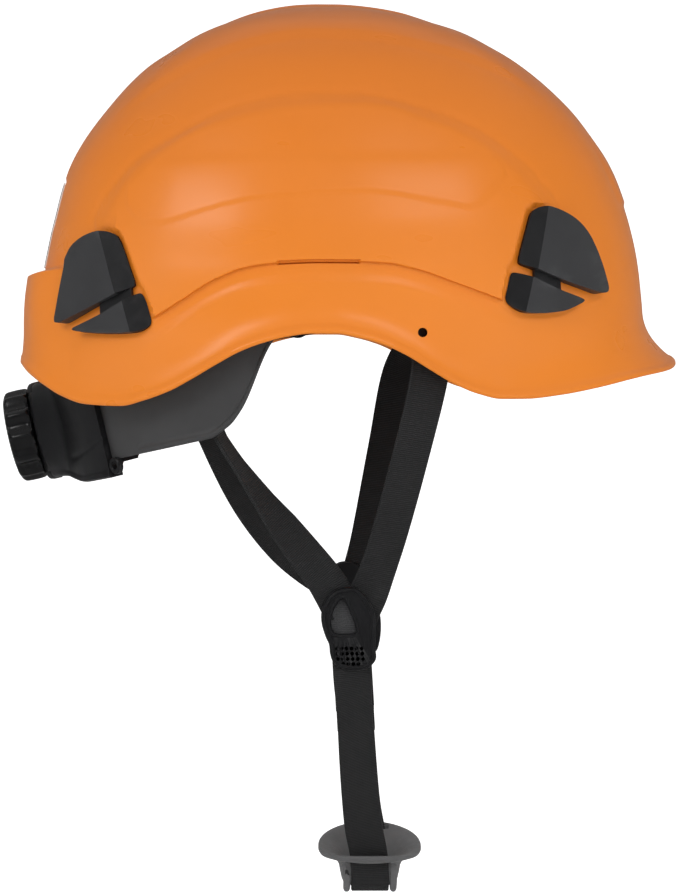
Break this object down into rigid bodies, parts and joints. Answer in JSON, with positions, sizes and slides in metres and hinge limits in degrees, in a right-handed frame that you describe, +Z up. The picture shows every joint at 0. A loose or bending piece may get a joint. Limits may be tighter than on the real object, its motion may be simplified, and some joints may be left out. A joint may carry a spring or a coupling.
{
  "type": "climbing helmet",
  "caption": "Hard-shell climbing helmet with foam liner, strap suspension, ratchet nape cradle, lamp clips, and a Y-strap chin harness with side sliders, quick buckle and chin cup.",
  "frame": {"origin": "centre of the crown pad's underside, where the top of the head rests", "axes": "+Z up through the crown, -Y towards the brim (the wearer's front), -X the wearer's right"},
  "size_m": [0.208, 0.2877, 0.3793],
  "materials": {
    "shell_orange": "satin-gloss injection-moulded shell",
    "foam_black": "moulded bead foam",
    "retroreflective": "silver retroreflective film",
    "band_plastic": "smooth satin flexible plastic",
    "padding": "brushed knit over foam",
    "webbing": "ribbed woven webbing",
    "black_plastic": "fine-textured moulded plastic",
    "gloss_black_plastic": "semi-gloss moulded plastic",
    "clip_plastic": "satin moulded plastic",
    "steel": "turned steel",
    "pinion_plastic": "moulded acetal",
    "soft_grey_rubber": "soft matt rubber"
  },
  "bodies": {
    "helmet_shell": {"shell": "shell_orange", "foam_liner": "foam_black", "reflective_tape": "retroreflective", "headband_front": "band_plastic", "sweatband": "padding", "crown_pad": "padding", "crown_strap_a": "webbing", "crown_strap_b": "webbing", "suspension_key_front_right": "black_plastic", "strap_anchor_front_right": "black_plastic", "strap_front_right": "webbing", "suspension_key_front_left": "black_plastic", "strap_anchor_front_left": "black_plastic", "strap_front_left": "webbing", "suspension_key_rear_right": "black_plastic", "strap_anchor_rear_right": "black_plastic", "strap_rear_right": "webbing", "suspension_key_rear_left": "black_plastic", "strap_anchor_rear_left": "black_plastic", "strap_rear_left": "webbing", "side_stud_right": "black_plastic", "slider_frame_right": "black_plastic", "flap_pin_right": "steel", "side_stud_left": "black_plastic", "slider_frame_left": "black_plastic", "flap_pin_left": "steel"},
    "nape_cradle": {"ratchet_housing": "black_plastic", "housing_inner_plate": "black_plastic", "nape_pad": "padding"},
    "adjuster_knob": {"ratchet_knob": "gloss_black_plastic", "knob_cap": "gloss_black_plastic", "knob_screw": "steel", "pinion": "pinion_plastic"},
    "nape_arm_right": {"nape_arm_right": "band_plastic"},
    "nape_arm_left": {"nape_arm_left": "band_plastic"},
    "chin_loop": {"chin_strap": "webbing", "chin_strap_buckle_end": "webbing", "buckle_socket": "black_plastic", "buckle_plug": "black_plastic", "chin_cup": "soft_grey_rubber"},
    "buckle_prong_front": {"buckle_prong_front": "black_plastic"},
    "buckle_prong_rear": {"buckle_prong_rear": "black_plastic"},
    "lamp_clip_front_right": {"lamp_clip_front_right": "clip_plastic"},
    "lamp_clip_front_left": {"lamp_clip_front_left": "clip_plastic"},
    "lamp_clip_rear_right": {"lamp_clip_rear_right": "clip_plastic"},
    "lamp_clip_rear_left": {"lamp_clip_rear_left": "clip_plastic"},
    "slider_flap_right": {"slider_flap_right": "gloss_black_plastic"},
    "slider_flap_left": {"slider_flap_left": "gloss_black_plastic"}
  },
  "joints": [
    {"name": "lamp_clip_front_right_flex", "type": "hinge", "parent": "helmet_shell", "child": "lamp_clip_front_right", "pos_m": [-0.07535, -0.08787, -0.05237], "axis": [-0.4584, 0.8465, 0.2707], "range_deg": [0, 6], "stiffness_Nm_per_rad": 0.3},
    {"name": "lamp_clip_front_left_flex", "type": "hinge", "parent": "helmet_shell", "child": "lamp_clip_front_left", "pos_m": [0.07535, -0.08787, -0.05237], "axis": [-0.4584, -0.8465, -0.2707], "range_deg": [0, 6], "stiffness_Nm_per_rad": 0.3},
    {"name": "lamp_clip_rear_right_flex", "type": "hinge", "parent": "helmet_shell", "child": "lamp_clip_rear_right", "pos_m": [-0.07112, 0.08875, -0.05789], "axis": [0.5827, 0.7738, -0.2484], "range_deg": [0, 6], "stiffness_Nm_per_rad": 0.3},
    {"name": "lamp_clip_rear_left_flex", "type": "hinge", "parent": "helmet_shell", "child": "lamp_clip_rear_left", "pos_m": [0.07112, 0.08875, -0.05789], "axis": [0.5827, -0.7738, 0.2484], "range_deg": [0, 6], "stiffness_Nm_per_rad": 0.3},
    {"name": "nape_cradle_tilt", "type": "hinge", "parent": "helmet_shell", "child": "nape_cradle", "pos_m": [0, 0.015, -0.095], "axis": [1, 0, 0], "range_deg": [-12, 2]},
    {"name": "ratchet_knob_turn", "type": "hinge", "parent": "nape_cradle", "child": "adjuster_knob", "pos_m": [0, 0.12951, -0.14232], "axis": [0, 0.9744, -0.225], "range_deg": [-140, 140]},
    {"name": "nape_arm_right_slide", "type": "hinge", "parent": "nape_cradle", "child": "nape_arm_right", "pos_m": [0, 0.0272, -0.1187], "axis": [0, 0.225, 0.9744], "range_deg": [-8, 8]},
    {"name": "nape_arm_left_slide", "type": "hinge", "parent": "nape_cradle", "child": "nape_arm_left", "pos_m": [0, 0.0272, -0.1187], "axis": [0, 0.225, 0.9744], "range_deg": [-8, 8]},
    {"name": "slider_flap_right_open", "type": "hinge", "parent": "helmet_shell", "child": "slider_flap_right", "pos_m": [-0.0698, -0.0064, -0.2046], "axis": [0, 1, 0], "range_deg": [0, 40]},
    {"name": "slider_flap_left_open", "type": "hinge", "parent": "helmet_shell", "child": "slider_flap_left", "pos_m": [0.0698, -0.0064, -0.2046], "axis": [0, -1, 0], "range_deg": [0, 40]},
    {"name": "chin_loop_swing", "type": "hinge", "parent": "helmet_shell", "child": "chin_loop", "pos_m": [0, -0.0093, -0.232], "axis": [1, 0, 0], "range_deg": [-25, 25]},
    {"name": "buckle_prong_front_press", "type": "slide", "parent": "chin_loop", "child": "buckle_prong_front", "axis": [-0.0247, 0.9987, -0.0446], "range_m": [0, 0.0015]},
    {"name": "buckle_prong_rear_press", "type": "slide", "parent": "chin_loop", "child": "buckle_prong_rear", "axis": [0.0247, -0.9987, 0.0446], "range_m": [0, 0.0015]}
  ],
  "couplings": [
    {"joint": "nape_arm_right_slide", "follows": "ratchet_knob_turn", "ratio": -0.056948},
    {"joint": "nape_arm_left_slide", "follows": "ratchet_knob_turn", "ratio": 0.056948},
    {"joint": "buckle_prong_rear_press", "follows": "buckle_prong_front_press", "ratio": 1}
  ]
}
